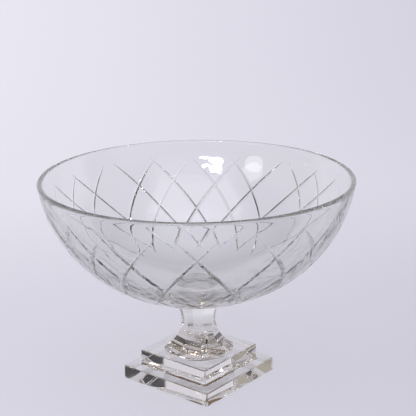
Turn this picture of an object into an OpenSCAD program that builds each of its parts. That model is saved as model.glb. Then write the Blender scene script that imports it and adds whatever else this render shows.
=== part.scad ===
// Footed cut glass trifle bowl on a waisted octagonal stem and a two-step square plinth.
// The origin is in the middle of the underside of the plinth, with +Z up. Millimetres.

/* [Bowl] */
// Widest diameter, over the lip
rim_d = 250; // [242:1:258]
// Height of the bowl from its lowest point to the top of the lip
bowl_h = 102.2; // [98:0.1:106]
// Radius of the flatter arc under the bowl, as a share of the ball through its lowest point and its rim
under_flatness = 1.094; // [1.08:0.001:1.145]
// Angle round the flatter arc at which the fuller arc of the side takes over
under_turn = 28.5; // [26:0.1:31]
// Thickness of the wall at the lip
lip_t = 4; // [3:0.1:4.4]
// Radius of the rounded bead along the lip
lip_bead_r = 2.3; // [1.8:0.1:3]
// Thickness of the glass in the bottom of the bowl
floor_t = 7; // [5:0.1:9]
// How much the inside of the bottom is tighter than the outside
inner_under_drop = 7; // [5:0.1:9]
// Angle round the inside of the bottom at which the inside of the wall takes over
inner_turn = 35.5; // [33:0.1:38]

/* [Lattice] */
// Number of cuts in each of the two crossing directions
cut_count = 18; // [12:1:22]
// Lean of the plane of each cut away from level
cut_lean = 45; // [40:1:50]
// Height above the bowl's lowest point at which the plane of a cut crosses the middle line
cut_cross_h = 17.5; // [14:0.5:22]
// Distance from the lip down to the upper tips of the cuts
cut_tip_drop = 14; // [10:0.5:20]
// Height of the lower tips of the cuts above the bowl's lowest point
cut_foot_h = 12; // [11:0.1:14]
// Depth of the first cuts half way along, in the plane of the cut
cut_depth = 0.8; // [0.6:0.05:1.2]
// How much shallower the cuts of the second direction are
second_cut_rise = 0.15; // [0.1:0.05:0.3]
// Angle between the two sides of a cut
cut_angle = 130; // [100:1:140]
// Turn of the whole lattice against the plinth
cut_turn = 18; // [0:0.5:20]

/* [Wafer] */
// Thickness of the joining wafer in its middle
wafer_t = 2.4; // [1.5:0.1:4]
// How far the wafer swells past the flats of the stem
wafer_swell = 1.2; // [0.4:0.1:2]

/* [Stem] */
// Number of flats
stem_sides = 8; // [6:2:12]
// Turn of the flats against the sides of the plinth
stem_turn = 22.5; // [0:0.5:45]
// Height of the stem
stem_h = 41.6; // [38:0.1:46]
// Height of the narrowest place above the foot of the stem
neck_h = 24.7; // [22:0.1:25]
// Width across the flats at the narrowest place
neck_w = 25.5; // [20:0.5:32]
// Diameter of the round foot of the stem
stem_foot_d = 56.8; // [52:0.2:60]
// Radius of the hollow sweep below the narrowest place
lower_sweep_r = 25.5; // [25:0.1:30]
// Radius of the hollow sweep above the narrowest place
upper_sweep_r = 34; // [28:0.5:45]

/* [Plinth] */
// Side of the lower step
lower_step_w = 88; // [84:0.5:100]
// Height of the lower step
lower_step_h = 11; // [8:0.1:15]
// Side of the upper step
upper_step_w = 68; // [66:0.5:74]
// Height of the upper step
upper_step_h = 12.8; // [9:0.1:16]
// Radius of the upright edges
upright_edge_r = 1.6; // [1:0.1:4]
// Radius of the level edges
level_edge_r = 0.8; // [0.3:0.1:0.9]
// Radius of the cove between the two steps
step_cove_r = 2; // [1:0.1:3]

/* [Hidden] */
$fn = 240;

plinth_top_z = lower_step_h + upper_step_h;
stem_top_z = plinth_top_z + stem_h;
bowl_z = stem_top_z + wafer_t;
rim_z = bowl_z + bowl_h;

// Middle of the rounded bead, half way between the inside and the outside of the wall
lip = [rim_d / 2 - lip_bead_r, rim_z - lip_bead_r];

// Each outline of the bowl is a flatter arc from the middle line, then a fuller arc up to the lip.
// The two arcs cross at a slight crease, and the fuller arc passes lip_gap outside the middle of the lip.
arc_crease = 0.6;
function heading(angle) = [sin(angle), -cos(angle)];
function arc_point(centre, r, angle) = centre + r * heading(angle);
function side_radius(meet, angle, lip_gap) =
    let (w = lip - meet)
    (lip_gap ^ 2 - w * w) / (2 * (w * heading(angle) + lip_gap));
// Angle on the flatter arc from the crossing down to the middle of the thin lens between the arcs
function lens_angle(flat_r, full_r) = arc_crease / (flat_r / full_r - 1);

ball_r = ((rim_d / 2) ^ 2 + bowl_h ^ 2) / (2 * bowl_h);
under_r = under_flatness * ball_r;
outer_under = [0, bowl_z + under_r];
outer_meet = arc_point(outer_under, under_r, under_turn);
side_r = side_radius(outer_meet, under_turn + arc_crease, lip_t / 2);
outer_side = arc_point(outer_meet, -side_r, under_turn + arc_crease);

inner_z = bowl_z + floor_t;
inner_under_r = under_r - inner_under_drop;
inner_under = [0, inner_z + inner_under_r];
inner_meet = arc_point(inner_under, inner_under_r, inner_turn);
inner_side_r = side_radius(inner_meet, inner_turn + arc_crease, -lip_t / 2);
inner_side = arc_point(inner_meet, -inner_side_r, inner_turn + arc_crease);

// Radius of the outside of the bowl at the height z
function outer_radius(z) =
    z < outer_meet[1]
    ? sqrt(under_r * under_r - (bowl_z + under_r - z) ^ 2)
    : outer_side[0] + sqrt(side_r * side_r - (z - outer_side[1]) ^ 2);

// A cut is an arc in its own leaning plane, seen as [up the slope, level across the slope]
cut_cross_z = bowl_z + cut_cross_h;
cut_top_z = rim_z - cut_tip_drop;
cut_foot_z = bowl_z + cut_foot_h;
cut_mid_z = (cut_top_z + cut_foot_z) / 2;
function along(z) = (z - cut_cross_z) / sin(cut_lean);
function on_glass(z) = [along(z), sqrt(outer_radius(z) ^ 2 - (along(z) * cos(cut_lean)) ^ 2)];
cut_tip = on_glass(cut_top_z);
cut_foot = on_glass(cut_foot_z);
cut_outward = [cut_foot[1] - cut_tip[1], cut_tip[0] - cut_foot[0]] / norm(cut_tip - cut_foot);
function cut_bottom(depth) = on_glass(cut_mid_z) - depth * cut_outward;

// Middle of the circle through three points
function circle_middle(a, b, c) =
    let (d = 2 * (a[0] * (b[1] - c[1]) + b[0] * (c[1] - a[1]) + c[0] * (a[1] - b[1])))
    let (x = a * a * (b[1] - c[1]) + b * b * (c[1] - a[1]) + c * c * (a[1] - b[1]))
    let (y = a * a * (c[0] - b[0]) + b * b * (a[0] - c[0]) + c * c * (b[0] - a[0]))
    [x, y] / d;
cut_overrun = 4;

// Slant of a cut in its plane, so that it enters square to the glass half way up
cut_mid_fall = (outer_side[1] - cut_mid_z) / side_r;
cut_mid_out = along(cut_mid_z) * cos(cut_lean) / outer_radius(cut_mid_z);
cut_slant = asin(sqrt(1 - cut_mid_fall ^ 2) * cut_mid_out * sin(cut_lean) + cut_mid_fall * cos(cut_lean));
cutter_l = 6;

stem_top_w = neck_w + 2 * (upper_sweep_r - sqrt(upper_sweep_r ^ 2 - (stem_h - neck_h) ^ 2));
wafer_r = stem_top_w / 2 + wafer_swell;

glass = [0.80, 0.85, 0.87, 0.55];
warm_glass = [0.80, 0.79, 0.74, 0.65];

// Point on the line from p to q, as far past q as p lies before it
function past(p, q) = 2 * q - p;

// The part of a disc of radius r round the point c that lies inside the given corners
module disc_part(c, r, corners) {
    intersection() {
        translate(c) circle(r);
        polygon(corners);
    }
}

// The inside of the two arcs, cut off along the given corners of the side
module arc_pair(under, flat_r, side, full_r, turn, side_corners) {
    lens = lens_angle(flat_r, full_r);
    heart = under - [0, flat_r / 2];
    below = arc_point(under, flat_r, turn - 1.5 * lens);
    wedge = [under, under - [0, 2 * flat_r], arc_point(under, 2 * flat_r, turn - lens / 2)];
    intersection() {
        translate(under) circle(flat_r);
        union() {
            polygon(wedge);
            disc_part(side, full_r, concat([heart, past(heart, below)], side_corners));
        }
    }
}

module bowl_outline() {
    difference() {
        arc_pair(outer_under, under_r, outer_side, side_r, under_turn,
            [past(outer_side, lip), outer_side]);
        arc_pair(inner_under, inner_under_r, inner_side, inner_side_r, inner_turn,
            [[rim_d, outer_under[1]], outer_under]);
    }
    translate(lip) circle(lip_bead_r);
}

// The glass that the wheel takes out along one cut: an arc with a sharp inner edge
module mitre_cut(depth) {
    middle = circle_middle(cut_tip, cut_bottom(depth), cut_foot);
    from = cut_tip - middle;
    to = cut_foot - middle;
    start = atan2(from[1], from[0]) - cut_overrun;
    end = atan2(to[1], to[0]) + cut_overrun;
    side = cutter_l * [cos(cut_angle / 2), sin(cut_angle / 2)];
    translate([0, 0, cut_cross_z])
        rotate([0, -cut_lean, 0])
            translate(middle)
                rotate(start)
                    rotate_extrude(angle = end - start)
                        translate([norm(from), 0])
                            rotate(-cut_slant)
                                polygon([[0, 0], [side[0], -side[1]], side]);
}

// All the cuts that lean one way
module cut_family(depth) {
    for (i = [0 : cut_count - 1])
        rotate(cut_turn + i * 360 / cut_count)
            mitre_cut(depth);
}

module cut_bowl() {
    color(glass)
        difference() {
            difference() {
                rotate_extrude() bowl_outline();
                cut_family(cut_depth);
            }
            mirror([0, 1, 0])
                rotate(-2 * cut_turn)
                    cut_family(cut_depth - second_cut_rise);
        }
}

module joining_wafer() {
    edge_h = bowl_z + under_r - sqrt(under_r ^ 2 - wafer_r ^ 2) - stem_top_z;
    color(warm_glass)
        rotate_extrude()
            difference() {
                union() {
                    translate([0, stem_top_z]) square([wafer_r - edge_h / 2, edge_h]);
                    translate([wafer_r - edge_h / 2, stem_top_z + edge_h / 2])
                        intersection() {
                            circle(edge_h / 2);
                            translate([0, -edge_h]) square([edge_h, 2 * edge_h]);
                        }
                }
                translate([0, bowl_z + under_r]) circle(under_r);
            }
}

// Side view of the stem, hollowed above and below its narrowest place
module stem_side_view() {
    half_w = neck_w / 2 + lower_sweep_r;
    difference() {
        translate([-half_w, 0]) square([2 * half_w, stem_h]);
        for (side = [-1, 1]) {
            intersection() {
                translate([side * (neck_w / 2 + lower_sweep_r), neck_h]) circle(lower_sweep_r);
                translate([-2 * half_w, -neck_h]) square([4 * half_w, 2 * neck_h]);
            }
            intersection() {
                translate([side * (neck_w / 2 + upper_sweep_r), neck_h]) circle(upper_sweep_r);
                translate([-2 * half_w, neck_h]) square([4 * half_w, stem_h]);
            }
        }
    }
}

// The flats run out in shallow scallops on the round foot
module faceted_stem() {
    color(warm_glass)
        translate([0, 0, plinth_top_z])
            intersection() {
                cylinder(d = stem_foot_d, h = stem_h);
                intersection_for (i = [0 : stem_sides / 2 - 1])
                    rotate([90, 0, stem_turn + i * 360 / stem_sides])
                        linear_extrude(2 * stem_foot_d, center = true)
                            stem_side_view();
            }
}

// Square with rounded corners
module round_square(w, r) {
    square([w - 2 * r, w], center = true);
    square([w, w - 2 * r], center = true);
    for (x = [-1, 1], y = [-1, 1])
        translate([x, y] * (w / 2 - r)) circle(r);
}

// Square slab standing on the level 0, with rounded upright edges and a rounded top edge
module slab(w, h) {
    intersection() {
        linear_extrude(h) round_square(w, upright_edge_r);
        intersection_for (turn = [0, 90])
            rotate([90, 0, turn])
                linear_extrude(2 * w, center = true)
                    slab_side_view(w, h);
    }
}

module slab_side_view(w, h) {
    translate([-w / 2, 0]) square([w, h - level_edge_r]);
    translate([-w / 2 + level_edge_r, 0]) square([w - 2 * level_edge_r, h]);
    for (side = [-1, 1])
        translate([side * (w / 2 - level_edge_r), h - level_edge_r]) circle(level_edge_r);
}

// Hollow fillet round the foot of a slab of the width w
module cove(w) {
    straight = w - 2 * upright_edge_r;
    for (turn = [0 : 90 : 270])
        rotate(turn) {
            translate([w / 2, 0, 0])
                rotate([90, 0, 0])
                    linear_extrude(straight, center = true)
                        cove_outline();
            translate([w / 2 - upright_edge_r, w / 2 - upright_edge_r, 0])
                rotate_extrude(angle = 90)
                    translate([upright_edge_r, 0])
                        cove_outline();
        }
}

module cove_outline() {
    difference() {
        square(step_cove_r);
        translate([step_cove_r, step_cove_r]) circle(step_cove_r);
    }
}

module stepped_plinth() {
    color(warm_glass) {
        slab(lower_step_w, lower_step_h);
        translate([0, 0, lower_step_h]) {
            slab(upper_step_w, upper_step_h);
            cove(upper_step_w);
        }
    }
}

cut_bowl();
joining_wafer();
faceted_stem();
stepped_plinth();
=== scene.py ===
# %% [markdown]
# # A footed trifle bowl in cut glass
# The real bowl is four pieces of clear glass: a wide blown bowl cut all round with a lattice, a small
# wafer of glass under it, a waisted stem with eight flats, and a heavy square foot with two steps.
# They were stuck together hot, so no gap or line of glue shows between them.
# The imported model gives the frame: the sizes of the glass are written in millimetres of that frame and multiplied
# by MM, and the camera, the paper and the lamps are placed in metres.

# %% Load the frame
import math
import bmesh
import bpy
from mathutils import Matrix, Vector


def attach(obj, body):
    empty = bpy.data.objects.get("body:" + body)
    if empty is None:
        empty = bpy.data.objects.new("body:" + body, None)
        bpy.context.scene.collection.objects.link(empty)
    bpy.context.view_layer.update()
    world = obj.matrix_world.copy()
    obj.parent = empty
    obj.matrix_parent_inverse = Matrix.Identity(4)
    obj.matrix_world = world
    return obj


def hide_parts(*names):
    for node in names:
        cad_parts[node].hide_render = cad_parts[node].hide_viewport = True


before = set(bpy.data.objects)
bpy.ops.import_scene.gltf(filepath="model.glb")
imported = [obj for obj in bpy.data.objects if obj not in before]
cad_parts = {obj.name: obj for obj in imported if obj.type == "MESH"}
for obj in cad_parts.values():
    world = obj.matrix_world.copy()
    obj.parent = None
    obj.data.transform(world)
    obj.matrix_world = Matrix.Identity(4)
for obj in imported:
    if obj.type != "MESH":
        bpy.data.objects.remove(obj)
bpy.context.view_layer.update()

MM = 0.001

# %% [markdown]
# ## The camera
# The photograph looks down on the bowl from a little above the rim, with one corner of the square foot
# almost straight ahead. The camera could be aimed by eye, but its place follows from the rim's oval and
# the corners of the foot, so it is set once with numbers and left alone.
# The cuts, the paper, the lamps and the room are turned by the same angle, which is fixed.

# %% Camera
VIEW_TURN = math.radians(39.8)
LOOK_DOWN = math.radians(16.72)
LOOK_RIGHT = math.radians(0.60)
LEAN = math.radians(-0.59)
CAMERA_PLACE = (0, -0.8311, 0.3926)
PICTURE_PX = 416
FOCUS_PX = 1093.5
turned = Matrix.Rotation(VIEW_TURN, 4, "Z")

camera_data = bpy.data.cameras.new("camera")
camera_data.sensor_width = 36.0
camera_data.lens = FOCUS_PX * camera_data.sensor_width / PICTURE_PX
camera = bpy.data.objects.new("camera", camera_data)
bpy.context.scene.collection.objects.link(camera)
camera.matrix_world = (
    turned
    @ Matrix.Translation(CAMERA_PLACE)
    @ Matrix.Rotation(-LOOK_RIGHT, 4, "Z")
    @ Matrix.Rotation(math.pi / 2 - LOOK_DOWN, 4, "X")
    @ Matrix.Rotation(LEAN, 4, "Z")
)
bpy.context.scene.camera = camera
print("camera at", [round(v, 3) for v in camera.matrix_world.translation], "lens", round(camera_data.lens, 1))

# %% [markdown]
# ## Clear glass
# Polished table glass bends light by an index of about 1.52 and is nearly free of colour. What tells the
# eye that it was made by hand is in its surface: very slow waves from blowing and fire polishing, and a
# faint film of handling that dulls the reflections here and there. The waves are a bump from a large noise,
# with a share of finer ripples on the bowl, and the film is a small change in roughness and colour. All of
# them are read from Object coordinates.
# The bowl's glass is faintly grey and the foot's faintly straw coloured. That colour belongs in the volume,
# where a long way through the glass is darker than a short one, and hardly on the surface.
# Light that is bent on its way to a lamp is rarely found again, and the glass would throw a heavy dark shadow,
# so a shadow ray meets only a clear tint.
# A material is a tree of nodes, and a few helpers keep its steps short.


# %% Helpers for values and colours
def ramp(tree, value, start, end, low=0.0, high=1.0, kind="SMOOTHSTEP"):
    """A value that goes from low to high while another one goes from start to end."""
    step = tree.nodes.new("ShaderNodeMapRange")
    step.interpolation_type = kind
    for name, number in (("From Min", start), ("From Max", end), ("To Min", low), ("To Max", high)):
        step.inputs[name].default_value = number
    tree.links.new(value, step.inputs["Value"])
    return step.outputs["Result"]


def combine(tree, kind, first, second):
    """One value worked out from two others, of which either may be a plain number."""
    step = tree.nodes.new("ShaderNodeMath")
    step.operation = kind
    for socket, value in zip(step.inputs, (first, second)):
        if isinstance(value, float):
            socket.default_value = value
        else:
            tree.links.new(value, socket)
    return step.outputs["Value"]


def mix_colours(tree, factor, first, second):
    """A colour between two others."""
    step = tree.nodes.new("ShaderNodeMix")
    step.data_type = "RGBA"
    step.inputs["A"].default_value = (*first, 1)
    step.inputs["B"].default_value = (*second, 1)
    tree.links.new(factor, step.inputs["Factor"])
    return step.outputs["Result"]


def mix_shaders(tree, factor, first, second):
    """A shader between two others."""
    step = tree.nodes.new("ShaderNodeMixShader")
    tree.links.new(factor, step.inputs["Fac"])
    tree.links.new(first, step.inputs[1])
    tree.links.new(second, step.inputs[2])
    return step.outputs["Shader"]


print("helpers for values and colours ready")


# %% Helpers for surfaces
def noise(tree, place, scale, detail):
    """Soft random patches on Object coordinates."""
    patches = tree.nodes.new("ShaderNodeTexNoise")
    patches.inputs["Scale"].default_value = scale
    patches.inputs["Detail"].default_value = detail
    tree.links.new(place.outputs["Object"], patches.inputs["Vector"])
    return patches.outputs["Fac"]


def bump(tree, height, strength, distance):
    """The normal of a surface with this relief."""
    relief = tree.nodes.new("ShaderNodeBump")
    relief.inputs["Strength"].default_value = strength
    relief.inputs["Distance"].default_value = distance
    tree.links.new(height, relief.inputs["Height"])
    return relief.outputs["Normal"]


def throw_faint_shadow(tree, shader, shade):
    """Gives the shader to every ray but a shadow ray, which passes with only this shade."""
    clear = tree.nodes.new("ShaderNodeBsdfTransparent")
    clear.inputs["Color"].default_value = (*shade, 1)
    ray = tree.nodes.new("ShaderNodeLightPath")
    surface = mix_shaders(tree, ray.outputs["Is Shadow Ray"], shader.outputs["BSDF"], clear.outputs["BSDF"])
    tree.links.new(surface, tree.nodes["Material Output"].inputs["Surface"])


print("helpers for surfaces ready")

# %% Glass materials
GLASS_INDEX = 1.52
RIPPLE_SIZE = 11.0
FILM_SCALE, FILM_DETAIL = 34.0, 5.0
FILM_START, FILM_FULL = 0.45, 0.75
FILM_TINT = 0.985


def glass_material(name, tint, shade, wave_size, wave_depth, ripple_share, film, absorbed, density):
    """Clear glass, with its waves in millimetres and its film as the roughness where that is thickest."""
    material = bpy.data.materials.new(name)
    material.use_nodes = True
    tree = material.node_tree
    shader = tree.nodes["Principled BSDF"]
    shader.inputs["IOR"].default_value = GLASS_INDEX
    shader.inputs["Transmission Weight"].default_value = 1.0
    place = tree.nodes.new("ShaderNodeTexCoord")

    waves = noise(tree, place, 1 / (wave_size * MM), 1.0)
    ripples = noise(tree, place, 1 / (RIPPLE_SIZE * MM), 0.0)
    uneven = combine(tree, "ADD", combine(tree, "MULTIPLY", ripples, ripple_share), waves)
    tree.links.new(bump(tree, uneven, 1.0, wave_depth * MM), shader.inputs["Normal"])

    handling = noise(tree, place, FILM_SCALE, FILM_DETAIL)
    dull = ramp(tree, handling, FILM_START, FILM_FULL, high=film, kind="LINEAR")
    tree.links.new(dull, shader.inputs["Roughness"])
    cloud = mix_colours(tree, handling, tint, [part * FILM_TINT for part in tint])
    tree.links.new(cloud, shader.inputs["Base Color"])

    throw_faint_shadow(tree, shader, shade)
    body = tree.nodes.new("ShaderNodeVolumeAbsorption")
    body.inputs["Color"].default_value = (*absorbed, 1)
    body.inputs["Density"].default_value = density
    tree.links.new(body.outputs["Volume"], tree.nodes["Material Output"].inputs["Volume"])
    return material


bowl_glass = glass_material(
    "clear_bowl_glass", tint=(0.987, 0.989, 0.986), shade=(0.94, 0.94, 0.94),
    wave_size=40, wave_depth=0.35, ripple_share=0.25, film=0.03,
    absorbed=(0.80, 0.80, 0.785), density=13.0,
)
foot_glass = glass_material(
    "warm_foot_glass", tint=(0.99, 0.985, 0.975), shade=(0.72, 0.71, 0.69),
    wave_size=45, wave_depth=0.10, ripple_share=0.0, film=0.02,
    absorbed=(0.86, 0.82, 0.76), density=5.0,
)
print("materials", bowl_glass.name, foot_glass.name)

# %% [markdown]
# ## Welds
# Where two pieces of glass were fused there is no surface any more: light goes straight on.
# One mesh for the whole object would show that, but the four pieces would be lost. So each piece keeps its own
# closed mesh, and the faces inside a weld get a clear finish with an index of 1, which neither bends nor mirrors.
# The two meshes overlap there by a hair, because two faces at the very same place confuse a ray tracer.

# %% Weld finish
WELD_OVERLAP = 0.02

weld = bpy.data.materials.new("fused_joint")
weld.use_nodes = True
weld_shader = weld.node_tree.nodes["Principled BSDF"]
weld_shader.inputs["Base Color"].default_value = (1, 1, 1, 1)
weld_shader.inputs["Roughness"].default_value = 0.0
weld_shader.inputs["IOR"].default_value = 1.0
weld_shader.inputs["Transmission Weight"].default_value = 1.0
throw_faint_shadow(weld.node_tree, weld_shader, (1, 1, 1))
print("weld overlap", WELD_OVERLAP, "mm")

# %% [markdown]
# ## The blown bowl
# Round glass is drawn the way a turner draws it: half of its outline, which is then spun round the axis.
# An arc of the outline is itself a spin, of one vertex round the middle of the arc.
# The outside of the bowl is two arcs that flow into each other, flatter underneath and fuller up the side. The lip
# is a half round, and the inside is again two arcs, so the wall thins from the bottom to the lip.
# So six sweeps draw the outline from the lowest point, over the lip and down to the middle of the inside, and one
# spin turns it. The finished piece goes to the scene as a mesh at the origin.

# %% Helpers for turned pieces
POLE_MERGE = 0.002


def end_vertex(spun):
    """The vertex at the end of a spin."""
    return next(part for part in spun["geom_last"] if isinstance(part, bmesh.types.BMVert))


def sweep(bm, tip, centre, degrees, steps):
    """Carries the outline on from the vertex tip, round a middle given as (radius, height) in millimetres."""
    middle = Vector((centre[0], 0, centre[1])) * MM
    arc = bmesh.ops.spin(
        bm, geom=[tip], cent=middle, axis=(0, -1, 0), angle=math.radians(degrees), steps=steps
    )
    return end_vertex(arc)


def turn_on_lathe(bm, steps):
    """Spins everything drawn so far round the upright axis, and closes the poles."""
    bmesh.ops.spin(
        bm, geom=bm.verts[:] + bm.edges[:], cent=(0, 0, 0), axis=(0, 0, 1),
        angle=2 * math.pi, steps=steps, use_merge=True,
    )
    bmesh.ops.remove_doubles(bm, verts=bm.verts, dist=POLE_MERGE * MM)
    bmesh.ops.recalc_face_normals(bm, faces=bm.faces)


def to_object(bm, name):
    """Puts a mesh in the scene, at the origin."""
    mesh = bpy.data.meshes.new(name)
    bm.to_mesh(mesh)
    bm.free()
    piece = bpy.data.objects.new(name, mesh)
    bpy.context.scene.collection.objects.link(piece)
    return piece


def piece_size(piece):
    """The name of a piece, and how many vertices and triangles it has."""
    triangles = sum(len(polygon.vertices) - 2 for polygon in piece.data.polygons)
    return f"{piece.name}: {len(piece.data.vertices)} vertices, {triangles} triangles"


print("helpers for turned pieces ready")

# %% Bowl blank
BOWL_BOTTOM = 67.8
WAFER_EDGE = 17.3
UNDER_MIDDLE, UNDER_R, UNDER_TURN = (0, 207.3), 139.5, 28.66
SIDE_MIDDLE, SIDE_R, SIDE_TURN = (12.47, 184.49), 113.5, 52.68
LIP_MIDDLE, LIP_TURN = (122.7, 167.7), 178.08
INNER_SIDE_MIDDLE, INNER_SIDE_TURN = (13.69, 188.07), 43.97
INNER_UNDER_MIDDLE, INNER_UNDER_TURN = (0, 207.3), 35.45
ROUND_STEPS = 288

blank = bmesh.new()
tip = blank.verts.new((0, 0, BOWL_BOTTOM * MM))
wafer_turn = math.degrees(math.asin(WAFER_EDGE / UNDER_R))
for centre, degrees, steps in (
    (UNDER_MIDDLE, wafer_turn, 4),
    (UNDER_MIDDLE, UNDER_TURN - wafer_turn, 16),
    (SIDE_MIDDLE, SIDE_TURN, 44),
    (LIP_MIDDLE, LIP_TURN, 18),
    (INNER_SIDE_MIDDLE, -INNER_SIDE_TURN, 26),
    (INNER_UNDER_MIDDLE, -INNER_UNDER_TURN, 18),
):
    tip = sweep(blank, tip, centre, degrees, steps)
print("inside bottom at", round(tip.co.z / MM, 2), "mm, off the axis by", round(tip.co.x / MM, 3), "mm")
tip.co.x = 0
turn_on_lathe(blank, ROUND_STEPS)
bowl = to_object(blank, "bowl")
print(piece_size(bowl))

# %% [markdown]
# ## The cut lattice
# The lattice was cut on a turning wheel with a V-shaped edge, and polished again afterwards.
# Each cut follows the outside of the bowl in a leaning plane, keeps its width, and runs out in a point at both ends,
# near the lip and under the bowl. Eighteen cuts lean one way and eighteen the other, spaced by the cutter's eye and
# not by a dividing plate.
# A bump map would give lines, but glass needs the real grooves, because they bend the light.
# So a small outline of the wheel's edge is extruded along the path, step by step, and taken away with a Boolean.

# %% Path of a cut
CUT_PLANE_LEAN = math.radians(45)
CUT_PLANE_HEIGHT = 85.35
CUT_TOP, CUT_FOOT = 156.0, 79.8
FOOT_PACE = 0.4
JOINT_HEIGHT = UNDER_MIDDLE[1] - UNDER_R * math.cos(math.radians(UNDER_TURN))


def on_outside(height):
    """Radius of the outside of the bowl at this height, and the way it faces as (outward, upward)."""
    (middle_r, middle_z), arc_r = (
        (UNDER_MIDDLE, UNDER_R) if height < JOINT_HEIGHT else (SIDE_MIDDLE, SIDE_R)
    )
    radius = middle_r + math.sqrt(arc_r**2 - (height - middle_z) ** 2)
    return radius, ((radius - middle_r) / arc_r, (height - middle_z) / arc_r)


def path_point(share):
    """Point of the path, from 0 at its foot to 1 at its top, and the way the glass faces there.

    The path climbs more slowly near its foot, where the glass is flatter.
    """
    height = CUT_FOOT + (CUT_TOP - CUT_FOOT) * share * (FOOT_PACE + (1 - FOOT_PACE) * share)
    radius, (out, up) = on_outside(height)
    level = (height - CUT_PLANE_HEIGHT) / math.tan(CUT_PLANE_LEAN)
    side = math.sqrt(radius**2 - level**2)
    return Vector((level, side, height)), Vector((out * level / radius, out * side / radius, up))


print("cuts run from", [round(v, 1) for v in path_point(0)[0]], "to", [round(v, 1) for v in path_point(1)[0]])

# %% Helpers for extruded pieces
def raise_face(bm, face):
    """Extrudes one face, and returns the new face at the end of the extrusion."""
    made = bmesh.ops.extrude_face_region(bm, geom=[face])
    return next(part for part in made["geom"] if isinstance(part, bmesh.types.BMFace))


def open_edges(bm):
    """How many edges of a mesh do not have exactly two faces."""
    return sum(len(edge.link_faces) != 2 for edge in bm.edges)


print("helpers for extruded pieces ready")

# %% Shape of one cut
CUT_DEPTHS = (1.05, 0.90)
CUT_ANGLE = math.radians(116)
TOOL_HEIGHT = 1.6
CUT_STEPS = 54
RUN_OUT = 0.03
RUN_OUT_POWER = 6
SHORT_WAY = 0.004


def place_on_path(share, depth):
    """The frame of the wheel's edge: outward, across the cut and along it."""
    point, outward = path_point(share)
    along = (path_point(share + SHORT_WAY)[0] - path_point(share - SHORT_WAY)[0]).normalized()
    across = along.cross(outward)
    sink = depth * (1 - abs(2 * share - 1) ** RUN_OUT_POWER)
    frame_axes = Matrix((outward, across, along)).transposed().to_4x4()
    return Matrix.Translation((point - sink * outward) * MM) @ frame_axes


def cutting_tool(bm, depth):
    """Adds one wheel path as a closed solid, for the turn 0."""
    wing = TOOL_HEIGHT * math.tan(CUT_ANGLE / 2)
    outline = [(0, 0), (TOOL_HEIGHT, wing), (TOOL_HEIGHT, -wing)]
    shares = [-RUN_OUT + (1 + 2 * RUN_OUT) * step / CUT_STEPS for step in range(CUT_STEPS + 1)]
    last = place_on_path(shares[0], depth)
    tip = bm.faces.new([bm.verts.new(last @ (Vector((*corner, 0)) * MM)) for corner in outline])
    for step, share in enumerate(shares[1:]):
        under, tip = tip, raise_face(bm, tip)
        if step:
            bmesh.ops.delete(bm, geom=[under], context="FACES_ONLY")
        here = place_on_path(share, depth)
        bmesh.ops.transform(bm, matrix=here @ last.inverted(), verts=tip.verts)
        last = here


sample = bmesh.new()
cutting_tool(sample, CUT_DEPTHS[0])
print("one wheel path has", len(sample.faces), "faces, open edges:", open_edges(sample))
sample.free()

# %% Cut the bowl
FIRST_TURNS = (
    15.5, 36.5, 52.4, 76.7, 93, 111, 129, 147, 163.8, 179.1, 207.5, 235, 253.4, 275, 298, 321.4, 336.3, 356.1
)
SECOND_TURNS = (
    3.2, 21.5, 44, 67, 89, 103.1, 130.8, 148, 165, 182.3, 206, 221.8, 240, 258, 276, 293, 310.8, 332
)


def keep(piece, tool, operation):
    """Keeps what a Boolean with a tool leaves of a piece, and throws the tool away."""
    step = piece.modifiers.new("shape", "BOOLEAN")
    step.operation = operation
    step.solver = "EXACT"
    step.object = tool
    shaped = bpy.data.meshes.new_from_object(piece.evaluated_get(bpy.context.evaluated_depsgraph_get()))
    piece.modifiers.clear()
    piece.data = shaped
    bpy.data.objects.remove(tool)


for turns, depth, way in ((FIRST_TURNS, CUT_DEPTHS[0], 1), (SECOND_TURNS, CUT_DEPTHS[1], -1)):
    tools = bmesh.new()
    for turn in turns:
        before = set(tools.verts)
        cutting_tool(tools, depth)
        fresh = [v for v in tools.verts if v not in before]
        bmesh.ops.transform(tools, matrix=Matrix.Diagonal((1, way, 1, 1)), verts=fresh)
        bmesh.ops.rotate(
            tools, verts=fresh, cent=(0, 0, 0), matrix=Matrix.Rotation(VIEW_TURN + math.radians(turn), 3, "Z")
        )
    bmesh.ops.recalc_face_normals(tools, faces=tools.faces)
    keep(bowl, to_object(tools, "cutting_tools"), "DIFFERENCE")
    print(len(turns), "cuts of", depth, "mm made;", piece_size(bowl))

# %% Finish the bowl
SEAM_MERGE = 0.0002


def off_axis(point):
    """Distance of a point from the upright axis, in millimetres."""
    return math.hypot(point.x, point.y) / MM


def polish(piece, degrees):
    """Smooth shading, with the edges that turn more than this left sharp."""
    piece.data.shade_smooth()
    piece.data.set_sharp_from_angle(angle=math.radians(degrees))


trimmed = bmesh.new()
trimmed.from_mesh(bowl.data)
bmesh.ops.remove_doubles(trimmed, verts=trimmed.verts, dist=SEAM_MERGE * MM)
print("open edges in the bowl:", open_edges(trimmed))
bowl.data.materials.clear()
bowl.data.materials.append(bowl_glass)
bowl.data.materials.append(weld)
for face in trimmed.faces:
    under_wafer = off_axis(face.calc_center_median()) < WAFER_EDGE and face.normal.z < 0
    face.material_index = 1 if under_wafer else 0
trimmed.to_mesh(bowl.data)
trimmed.free()
polish(bowl, degrees=18)
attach(bowl, "root")
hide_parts("cut_bowl")
print(piece_size(bowl))

# %% [markdown]
# ## The joining wafer
# A small gather of hot glass joins bowl and stem, squeezed out into a rounded edge. It is turned as well:
# a flat underside, the half round of its edge, and a top that is hollow to fit the bowl.

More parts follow.
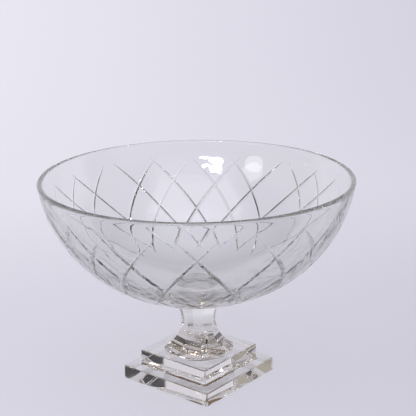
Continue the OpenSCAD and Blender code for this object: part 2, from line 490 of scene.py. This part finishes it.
# %% Wafer
STEM_TOP = 65.4
WAFER_FLAT_R = 16.6
WAFER_EDGE_MIDDLE, WAFER_EDGE_TURN = (16.6, 67.21), 157
WAFER_STEPS = 96
NEARLY_LEVEL = 0.9

drop = bmesh.new()
hub = drop.verts.new((0, 0, (STEM_TOP - WELD_OVERLAP) * MM))
flat = bmesh.ops.extrude_vert_indiv(drop, verts=[hub])["verts"][0]
flat.co.x = WAFER_FLAT_R * MM
rim = sweep(drop, flat, WAFER_EDGE_MIDDLE, WAFER_EDGE_TURN, steps=14)
contact_turn = math.degrees(math.atan2(rim.co.x / MM - UNDER_MIDDLE[0], UNDER_MIDDLE[1] - rim.co.z / MM))
rim.co.z += WELD_OVERLAP * MM
top = sweep(drop, rim, UNDER_MIDDLE, -contact_turn, steps=6)
print("wafer meets the bowl at", round(rim.co.x / MM, 2), "mm from the axis")
top.co.x = 0
turn_on_lathe(drop, WAFER_STEPS)
wafer = to_object(drop, "wafer")
wafer.data.materials.append(foot_glass)
wafer.data.materials.append(weld)
for polygon in wafer.data.polygons:
    in_weld = off_axis(polygon.center) < WAFER_FLAT_R and abs(polygon.normal.z) > NEARLY_LEVEL
    polygon.material_index = 1 if in_weld else 0
polish(wafer, degrees=30)
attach(wafer, "root")
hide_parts("joining_wafer")
print(piece_size(wafer))

# %% [markdown]
# ## The faceted stem
# The stem was pressed with eight flats that sweep in to a narrow neck and out again, and its foot is round.
# It starts as an eight-sided face low down. The face is extruded upwards step by step and scaled to follow the
# two hollow sweeps, so that each flat stays one clean curved face with sharp arrises.
# Then a round blank is laid over it and only what the two share is kept: that leaves the round foot, and the flats
# run out on it in shallow scallops, as they do on the real one.
# It is turned by half a flat, so that arrises and not flats face the sides of the square foot.
# Its weld faces are the two level ones whose middle lies on the axis.

# %% Helpers for the stem
STEM_FOOT = 23.8
STEM_HEIGHT = STEM_TOP - STEM_FOOT
NECK_ABOVE_FOOT = 24.7
NECK_HALF = 12.75
LOWER_SWEEP_R, UPPER_SWEEP_R = 25.5, 34.0


def half_width(above_foot):
    """Half the width across the flats of the stem at this height above its foot."""
    sweep_r = LOWER_SWEEP_R if above_foot < NECK_ABOVE_FOOT else UPPER_SWEEP_R
    off_neck = above_foot - NECK_ABOVE_FOOT
    return NECK_HALF + sweep_r - math.sqrt(sweep_r**2 - off_neck**2)


def level_ring(bm, sides, radius, height, turn=0.0):
    """A filled ring lying level at this height."""
    bmesh.ops.create_circle(
        bm, cap_ends=True, segments=sides, radius=radius * MM,
        matrix=Matrix.Translation((0, 0, height * MM)) @ Matrix.Rotation(turn, 4, "Z"),
    )
    bm.faces.ensure_lookup_table()
    return bm.faces[-1]


def bridge_gap(bm):
    """Joins the two open loops of a mesh, and turns its faces outwards."""
    bmesh.ops.bridge_loops(bm, edges=[edge for edge in bm.edges if len(edge.link_faces) == 1])
    bmesh.ops.recalc_face_normals(bm, faces=bm.faces)


print("stem is", round(2 * half_width(STEM_HEIGHT), 1), "mm across its top")

# %% Grow the stem
STEM_SIDES = 8
STEM_STEPS = 40
STEM_TURN = math.radians(-22.5)
TOP_STEPS = 64

shaft = bmesh.new()
arris = half_width(0) / math.cos(math.pi / STEM_SIDES)
cap = level_ring(shaft, STEM_SIDES, arris, STEM_FOOT - WELD_OVERLAP, STEM_TURN + math.pi / STEM_SIDES)
last_half = half_width(0)
for step in range(STEM_STEPS + 1):
    above = STEM_HEIGHT * step / STEM_STEPS
    under, cap = cap, raise_face(shaft, cap)
    if step:
        bmesh.ops.delete(shaft, geom=[under], context="FACES_ONLY")
    size = half_width(above) / last_half
    last_half = half_width(above)
    bmesh.ops.scale(shaft, vec=(size, size, 1), verts=cap.verts)
    bmesh.ops.translate(shaft, vec=(0, 0, (STEM_FOOT + above) * MM - cap.verts[0].co.z), verts=cap.verts)
bmesh.ops.delete(shaft, geom=[cap], context="FACES_ONLY")
level_ring(shaft, TOP_STEPS, WAFER_FLAT_R, STEM_TOP)
bridge_gap(shaft)
stem = to_object(shaft, "stem")
print(piece_size(stem))

# %% Finish the stem
ROUND_FOOT_R = 28.4
FOOT_STEPS = 96
ON_AXIS = 1.0
DEAD_LEVEL = 0.99

blank = bmesh.new()
bmesh.ops.create_cone(
    blank, cap_ends=True, segments=FOOT_STEPS, radius1=ROUND_FOOT_R * MM, radius2=ROUND_FOOT_R * MM,
    depth=4 * STEM_HEIGHT * MM, matrix=Matrix.Translation((0, 0, STEM_FOOT * MM)),
)
keep(stem, to_object(blank, "round_blank"), "INTERSECT")
stem.data.materials.clear()
stem.data.materials.append(foot_glass)
stem.data.materials.append(weld)
for polygon in stem.data.polygons:
    in_weld = off_axis(polygon.center) < ON_AXIS and abs(polygon.normal.z) > DEAD_LEVEL
    polygon.material_index = 1 if in_weld else 0
polish(stem, degrees=20)
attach(stem, "root")
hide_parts("faceted_stem")
print(piece_size(stem), [polygon.material_index for polygon in stem.data.polygons].count(1), "weld faces")

# %% [markdown]
# ## The stepped plinth
# The foot was cast as one block with two steps, then ground and polished, so its edges are crisp but not sharp.
# It could be two boxes with bevels, but then the cove where the steps meet is hard to get. So it grows from one
# square face with rounded corners: the face is extruded level by level and drawn in to the outline of each level.
# The round foot of the stem is let into its top with a bridge, so that the face inside them can be the weld.

# %% Levels of the plinth
LOWER_HALF, UPPER_HALF = 44.0, 34.0
LOWER_HEIGHT = 11.0
UPRIGHT_EDGE, LEVEL_EDGE, COVE = 1.6, 0.8, 2.0
EDGE_STEPS, COVE_STEPS = 4, 6


def rounded_top(half, height):
    """The levels of a step's rounded upper edge, as (height, half width, corner radius)."""
    for step in range(EDGE_STEPS + 1):
        turn = math.pi / 2 * step / EDGE_STEPS
        drawn_in = LEVEL_EDGE * (1 - math.cos(turn))
        yield height - LEVEL_EDGE * (1 - math.sin(turn)), half - drawn_in, UPRIGHT_EDGE - drawn_in


def hollow_foot(half, height):
    """The levels of the cove at the foot of a step."""
    for step in range(COVE_STEPS + 1):
        turn = math.pi / 2 * step / COVE_STEPS
        proud = COVE * (1 - math.sin(turn))
        yield height + COVE * (1 - math.cos(turn)), half + proud, UPRIGHT_EDGE + proud


levels = [
    *rounded_top(LOWER_HALF, LOWER_HEIGHT),
    *hollow_foot(UPPER_HALF, LOWER_HEIGHT),
    *rounded_top(UPPER_HALF, STEM_FOOT),
]
print(len(levels), "levels from", levels[0], "to", levels[-1])

# %% Grow the plinth
CORNER_STEPS = 6

block = bmesh.new()
bmesh.ops.create_grid(block, x_segments=1, y_segments=1, size=LOWER_HALF * MM)
bmesh.ops.bevel(
    block, geom=block.verts[:], offset=UPRIGHT_EDGE * MM, offset_type="OFFSET",
    affect="VERTICES", segments=CORNER_STEPS, profile=0.5, material=-1,
)
block.faces.ensure_lookup_table()
top_face = block.faces[0]
was_half, was_corner = LOWER_HALF, UPRIGHT_EDGE
for number, (height, half, corner) in enumerate(levels):
    under, top_face = top_face, raise_face(block, top_face)
    if number:
        bmesh.ops.delete(block, geom=[under], context="FACES_ONLY")
    for vertex in top_face.verts:
        for axis in range(2):
            side = math.copysign(1, vertex.co[axis])
            round_off = abs(vertex.co[axis]) / MM - (was_half - was_corner)
            vertex.co[axis] = side * (half - corner + round_off * corner / was_corner) * MM
        vertex.co.z = height * MM
    was_half, was_corner = half, corner
bmesh.ops.delete(block, geom=[top_face], context="FACES_ONLY")
level_ring(block, FOOT_STEPS, ROUND_FOOT_R, STEM_FOOT)
bridge_gap(block)
print("open edges in the plinth:", open_edges(block))

# %% Finish the plinth
plinth = to_object(block, "plinth")
plinth.data.materials.append(foot_glass)
plinth.data.materials.append(weld)
for polygon in plinth.data.polygons:
    in_weld = off_axis(polygon.center) < ON_AXIS and polygon.center.z > LOWER_HEIGHT * MM
    polygon.material_index = 1 if in_weld else 0
polish(plinth, degrees=30)
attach(plinth, "root")
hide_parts("stepped_plinth")
print(piece_size(plinth))

# %% [markdown]
# ## The paper sweep
# The bowl stands on a sheet of pale paper that curves up behind it, so that no edge of the table shows.
# A flat floor and a wall would meet in a line, so the sheet is drawn as its side view and extruded to its width.
# For the eye the paper shines with part of its own light near the bowl, where it also takes the shadow, and with
# all of it further back. Clear glass is drawn by the background alone, so what the glass sees of the paper is set
# apart: bright behind the bowl, darker in a band close in front of it, which gives the rim and the cuts their
# lines, and bright again further in front. The paper's colour also holds a painted fall of light: lighter on the left,
# darker on the right.

# %% Paper sheet
PAPER_HALF = 2.5
PAPER_FRONT, PAPER_BEND = -2.5, 1.1
BEND_R, BEND_TURN = 0.7, math.radians(80)
UPPER_PART = (0, 0.12, 0.7)
PAPER_BELOW = 0.0002

sheet = bmesh.new()
edge_point = sheet.verts.new((0, PAPER_FRONT, 0))
far_point = bmesh.ops.extrude_vert_indiv(sheet, verts=[edge_point])["verts"][0]
far_point.co.y = PAPER_BEND
curve = bmesh.ops.spin(
    sheet, geom=[far_point], cent=(0, PAPER_BEND, BEND_R), axis=(1, 0, 0), angle=BEND_TURN, steps=16
)
top_point = bmesh.ops.extrude_vert_indiv(sheet, verts=[end_vertex(curve)])["verts"][0]
top_point.co += Vector(UPPER_PART)
wide = bmesh.ops.extrude_edge_only(sheet, edges=sheet.edges[:])
moved = [part for part in wide["geom"] if isinstance(part, bmesh.types.BMVert)]
bmesh.ops.translate(sheet, verts=moved, vec=(2 * PAPER_HALF, 0, 0))
bmesh.ops.translate(sheet, verts=sheet.verts, vec=(-PAPER_HALF, 0, -PAPER_BELOW))
bmesh.ops.rotate(sheet, verts=sheet.verts, cent=(0, 0, 0), matrix=turned.to_3x3())
bmesh.ops.recalc_face_normals(sheet, faces=sheet.faces)
paper = to_object(sheet, "paper_sweep")
paper.data.shade_smooth()
print("paper sweep", [round(v, 2) for v in paper.dimensions])

# %% Paper colour with painted light, and grain
# Painted shade: the paper's colour is lighter on the left and darker on the right, a painted fall of light from the
# left, and its own light carries the same painted shade.
PAPER_LIT_LEFT, PAPER_SHADED_RIGHT = (0.83, 0.82, 0.91), (0.66, 0.65, 0.74)
PAINTED_SHADE_HALF = 0.5
GRAIN_SCALE, GRAIN_DETAIL = 700, 2.0
GRAIN_STRENGTH, GRAIN_HEIGHT = 0.05, 0.0002


def room_axes(tree, coordinates):
    """A place, or in the world a direction, along the axes of the room: X right, Y to the back and Z up."""
    facing = tree.nodes.new("ShaderNodeMapping")
    facing.vector_type = "POINT"
    facing.inputs["Rotation"].default_value = (0, 0, -VIEW_TURN)
    tree.links.new(coordinates, facing.inputs["Vector"])
    parts = tree.nodes.new("ShaderNodeSeparateXYZ")
    tree.links.new(facing.outputs["Vector"], parts.inputs["Vector"])
    return parts.outputs


paper_finish = bpy.data.materials.new("pale_paper")
paper_finish.use_nodes = True
tree = paper_finish.node_tree
tree.nodes.remove(tree.nodes["Principled BSDF"])
place = tree.nodes.new("ShaderNodeTexCoord")
axes = room_axes(tree, place.outputs["Object"])
# Painted shade: the colour darkens from left to right across the middle of the paper.
across = ramp(tree, axes["X"], -PAINTED_SHADE_HALF, PAINTED_SHADE_HALF, kind="LINEAR")
paper_colour_with_painted_shade = mix_colours(tree, across, PAPER_LIT_LEFT, PAPER_SHADED_RIGHT)
fibres = bump(tree, noise(tree, place, GRAIN_SCALE, GRAIN_DETAIL), GRAIN_STRENGTH, GRAIN_HEIGHT)
matt = tree.nodes.new("ShaderNodeBsdfDiffuse")
tree.links.new(paper_colour_with_painted_shade, matt.inputs["Color"])
tree.links.new(fibres, matt.inputs["Normal"])
paper.data.materials.append(paper_finish)
print("paper finish", paper_finish.name)

# %% Paper light
# Each fade is given by two places behind the bowl, less than 0 where they are in front, and the share of light at each.
LIGHT_TO_THE_EYE = (0.0, 0.6, 0.65, 1.0)
BAND_TO_BOWL = (-0.16, 0.03, 0.42, 1.0)
BAND_TO_FRONT = (-0.22, -0.50, 0.0, 1.0)
LIGHT_BEHIND = (0.0, 0.5, 0.80, 1.0)

lit, lit_in_glass = (tree.nodes.new("ShaderNodeEmission") for _ in range(2))
for own_light in (lit, lit_in_glass):
    tree.links.new(paper_colour_with_painted_shade, own_light.inputs["Color"])
ray = tree.nodes.new("ShaderNodeLightPath")
to_the_eye = combine(tree, "MULTIPLY", ray.outputs["Is Camera Ray"], ramp(tree, axes["Y"], *LIGHT_TO_THE_EYE))
plain = mix_shaders(tree, to_the_eye, matt.outputs["BSDF"], lit.outputs["Emission"])
near = combine(tree, "MAXIMUM", ramp(tree, axes["Y"], *BAND_TO_BOWL), ramp(tree, axes["Y"], *BAND_TO_FRONT))
strength = combine(tree, "MULTIPLY", near, ramp(tree, axes["Y"], *LIGHT_BEHIND))
tree.links.new(strength, lit_in_glass.inputs["Strength"])
in_glass = combine(tree, "MAXIMUM", ray.outputs["Is Glossy Ray"], ray.outputs["Is Transmission Ray"])
surface = mix_shaders(tree, in_glass, plain, lit_in_glass.outputs["Emission"])
tree.links.new(surface, tree.nodes["Material Output"].inputs["Surface"])
print("paper light made of", len(tree.nodes), "nodes")

# %% [markdown]
# ## Light
# Glass is lit by what surrounds it. A wide soft box overhead lights the paper evenly, and four small rounded lamps
# behind and beside the camera put the two bright shapes on the far inside wall.
# The room round them is pale to the eye. To the glass it is a bright strip overhead with a lantern at the top, lit
# sides low at the back, a dim wall in front, and a warm wall on the left that the foot mirrors on its right. The rest
# stays nearly dark, so that the rim, the cuts and the edges of the foot draw themselves as dark lines.

# %% Lamps
INSIDE_BOWL = (0.0, 0.05, 0.15)


def soft_box(name, place, aim, width, height, watts, shape="ELLIPSE"):
    """An area lamp that stands at one place and faces another."""
    data = bpy.data.lights.new(name, "AREA")
    data.shape = shape
    data.size, data.size_y = width, height
    data.energy = watts
    lamp = bpy.data.objects.new(name, data)
    bpy.context.scene.collection.objects.link(lamp)
    stand = turned @ Vector(place)
    lamp.location = stand
    lamp.rotation_euler = (turned @ Vector(aim) - stand).to_track_quat("-Z", "Y").to_euler()
    lamp.visible_camera = False


soft_box("overhead_box", (0.05, -0.95, 1.65), (0.05, -0.6, 0.0), 2.0, 1.5, 6.0, "RECTANGLE")
soft_box("left_window", (-0.31, -0.95, 0.64), INSIDE_BOWL, 0.22, 0.14, 1.0)
soft_box("window_corner", (-0.36, -0.93, 0.69), INSIDE_BOWL, 0.10, 0.08, 0.28)
soft_box("torn_corner", (-0.14, -0.98, 0.58), INSIDE_BOWL, 0.20, 0.06, 0.4)
soft_box("far_window", (-0.80, -0.63, 0.60), INSIDE_BOWL, 0.34, 0.28, 0.7)

# %% Room
DIM = 0.04

world = bpy.data.worlds.new("room")
world.use_nodes = True
tree = world.node_tree
axes = room_axes(tree, tree.nodes.new("ShaderNodeTexCoord").outputs["Generated"])


def share(axis, start, end, full=1.0):
    """A brightness that grows softly from nothing to full along one axis of the room."""
    return ramp(tree, axes[axis], start, end, high=full)


def within(brightness, *limits):
    """What is left of a brightness inside some limits."""
    for limit in limits:
        brightness = combine(tree, "MULTIPLY", brightness, limit)
    return brightness


low_down = share("Z", 0.40, 0.20)
strip = within(share("X", -0.65, -0.45), share("X", 0.65, 0.45))
overhead = within(share("Z", 0.20, 0.36, full=0.55), strip, share("Y", 0.70, 0.30))
sides = within(share("Y", 0.02, 0.25, full=0.60), low_down)
front_wall = within(share("Y", -0.2, -0.6, full=0.30), low_down)
warm_wall = within(share("X", -0.50, -0.75, full=0.36), share("Z", 0.65, 0.40))
lantern = share("Z", 0.86, 0.97, full=0.6)
to_the_glass = overhead
for part in (sides, front_wall, warm_wall):
    to_the_glass = combine(tree, "MAXIMUM", to_the_glass, part)
to_the_glass = combine(tree, "ADD", combine(tree, "ADD", to_the_glass, lantern), DIM)
print("room for the glass made of", len(tree.nodes), "nodes")

# %% Room as it is seen
PALE = 0.75
COOL_LIGHT, WARM_LIGHT = (0.92, 0.91, 1.0), (1.0, 0.92, 0.78)

to_the_eye = tree.nodes.new("ShaderNodeLightPath").outputs["Is Camera Ray"]
seen = tree.nodes.new("ShaderNodeMix")
tree.links.new(to_the_eye, seen.inputs["Factor"])
tree.links.new(to_the_glass, seen.inputs["A"])
seen.inputs["B"].default_value = PALE
warmth = combine(tree, "SUBTRACT", share("X", -0.40, -0.70), to_the_eye)
background = tree.nodes["Background"]
tree.links.new(mix_colours(tree, warmth, COOL_LIGHT, WARM_LIGHT), background.inputs["Color"])
tree.links.new(seen.outputs["Result"], background.inputs["Strength"])
bpy.context.scene.world = world
print("world", world.name)

# %% [markdown]
# ## Bounces
# Light is mirrored many times inside thick glass. A ray that is stopped too early comes back black, and then the
# rim and the cuts get black lines that the real glass does not have, so the rays are followed a long way.

# %% Bounces
BOUNCES = 96

scene = bpy.context.scene
scene.view_settings.view_transform = "Standard"
scene.cycles.max_bounces = BOUNCES
scene.cycles.transmission_bounces = BOUNCES
scene.cycles.glossy_bounces = BOUNCES
print("bounces", BOUNCES)
